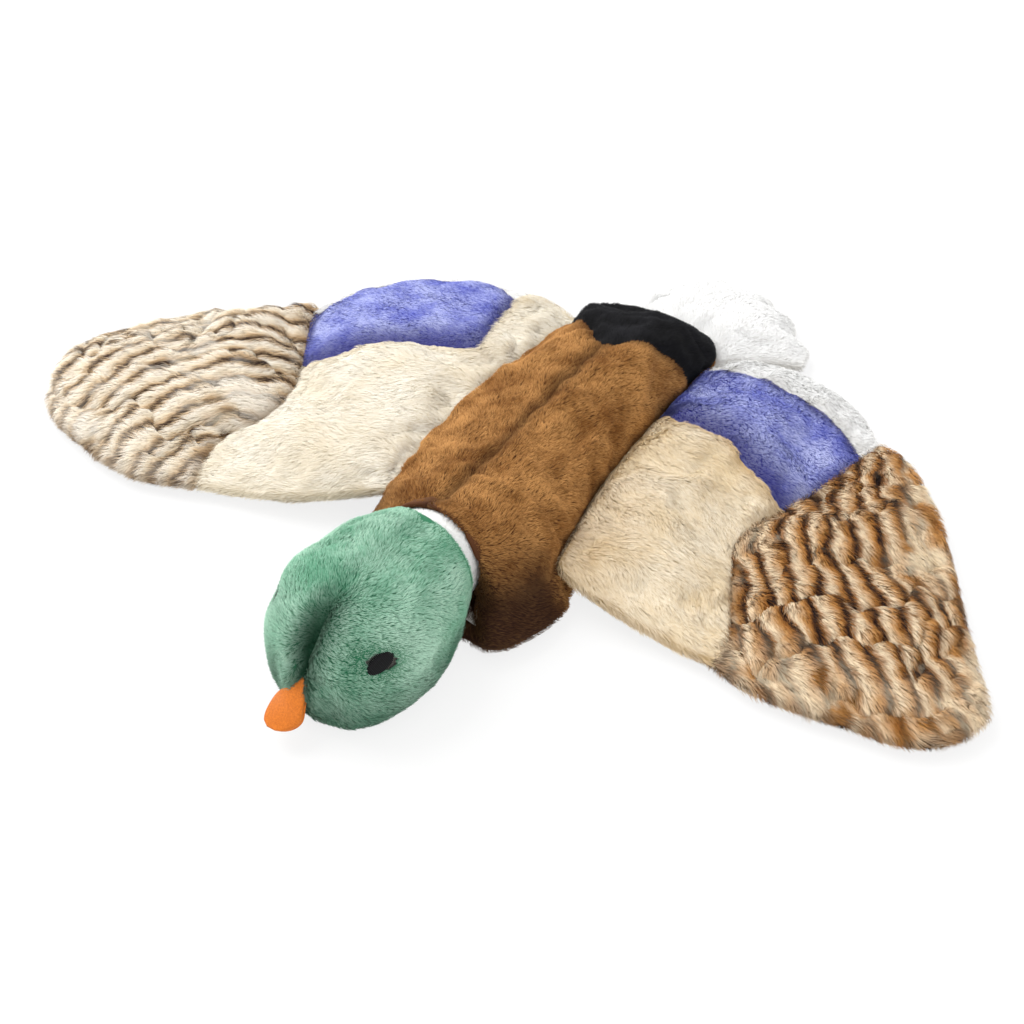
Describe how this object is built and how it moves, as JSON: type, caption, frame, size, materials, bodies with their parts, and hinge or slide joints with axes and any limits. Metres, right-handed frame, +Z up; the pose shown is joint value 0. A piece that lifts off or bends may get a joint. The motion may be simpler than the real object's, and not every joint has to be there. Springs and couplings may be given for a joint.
{
  "type": "plush duck",
  "caption": "Stuffed drake lying flat with wings spread: panelled pile-cloth body, wings, tail and head over soft filling, with a felt bill and soft hinges at its seams.",
  "frame": {"origin": "middle of the flat under the belly, on the surface that the duck lies on", "axes": "+Z up, bill towards -Y, tail towards +Y, the duck's left wing towards +X"},
  "size_m": [0.5793, 0.453, 0.0725],
  "materials": {
    "brown_pile": "short plush pile, soft sheen",
    "black_pile": "short plush pile",
    "green_pile": "short glossy plush pile",
    "white_pile": "soft plush pile",
    "cream_pile": "medium plush pile, tan in the shade",
    "blue_pile": "short glossy plush pile",
    "striped_pile": "long faux-fur pile, tan with dark brown wavy stripes",
    "orange_felt": "needled felt",
    "black_thread": "satin-stitched thread",
    "fibre_filling": "loose polyester fibre"
  },
  "bodies": {
    "body": {"back_panel_left": "brown_pile", "back_panel_right": "brown_pile", "belly_panel": "brown_pile", "rump_patch": "black_pile", "body_stuffing": "fibre_filling"},
    "neck": {"neck_collar": "white_pile", "neck_stuffing": "fibre_filling"},
    "head": {"head_panel_left": "green_pile", "head_panel_right": "green_pile", "head_stuffing": "fibre_filling", "bill_top_felt": "orange_felt", "bill_under_felt": "orange_felt", "eye_left": "black_thread", "eye_right": "black_thread"},
    "wing_left": {"wing_shoulder_left": "cream_pile", "wing_speculum_left": "blue_pile", "wing_band_left": "white_pile", "wing_under_left": "cream_pile", "wing_wadding_left": "fibre_filling"},
    "wing_right": {"wing_shoulder_right": "cream_pile", "wing_speculum_right": "blue_pile", "wing_band_right": "white_pile", "wing_under_right": "cream_pile", "wing_wadding_right": "fibre_filling"},
    "tip_left": {"tip_top_left": "striped_pile", "tip_under_left": "striped_pile", "tip_wadding_left": "fibre_filling"},
    "tip_right": {"tip_top_right": "striped_pile", "tip_under_right": "striped_pile", "tip_wadding_right": "fibre_filling"},
    "tail": {"tail_top_panel": "white_pile", "tail_under_panel": "white_pile", "tail_wadding": "fibre_filling"}
  },
  "joints": [
    {"name": "neck_turn", "type": "hinge", "parent": "body", "child": "neck", "pos_m": [0.006, -0.102, 0.036], "axis": [0, 0, 1], "range_deg": [-6, 18]},
    {"name": "head_nod", "type": "hinge", "parent": "neck", "child": "head", "pos_m": [0.006, -0.102, 0.036], "axis": [-1, 0, 0], "range_deg": [-5, 24]},
    {"name": "wing_lift_left", "type": "hinge", "parent": "body", "child": "wing_left", "pos_m": [0.0623, -0.062, 0.026], "axis": [0.0711, -0.9962, 0.0503], "range_deg": [-35, 60]},
    {"name": "wing_lift_right", "type": "hinge", "parent": "body", "child": "wing_right", "pos_m": [-0.0565, -0.062, 0.026], "axis": [0.0126, 0.9986, -0.0504], "range_deg": [-35, 60]},
    {"name": "tip_fold_left", "type": "hinge", "parent": "wing_left", "child": "tip_left", "pos_m": [0.1386, -0.065, 0.00865], "axis": [-0.0363, -0.9993, 0], "range_deg": [-40, 40]},
    {"name": "tip_fold_right", "type": "hinge", "parent": "wing_right", "child": "tip_right", "pos_m": [-0.1427, -0.106, 0.00865], "axis": [-0.2713, 0.9625, 0], "range_deg": [-40, 40]},
    {"name": "tail_lift", "type": "hinge", "parent": "body", "child": "tail", "pos_m": [0.005, 0.168, 0.00765], "axis": [1, 0, 0], "range_deg": [-25, 40]}
  ]
}
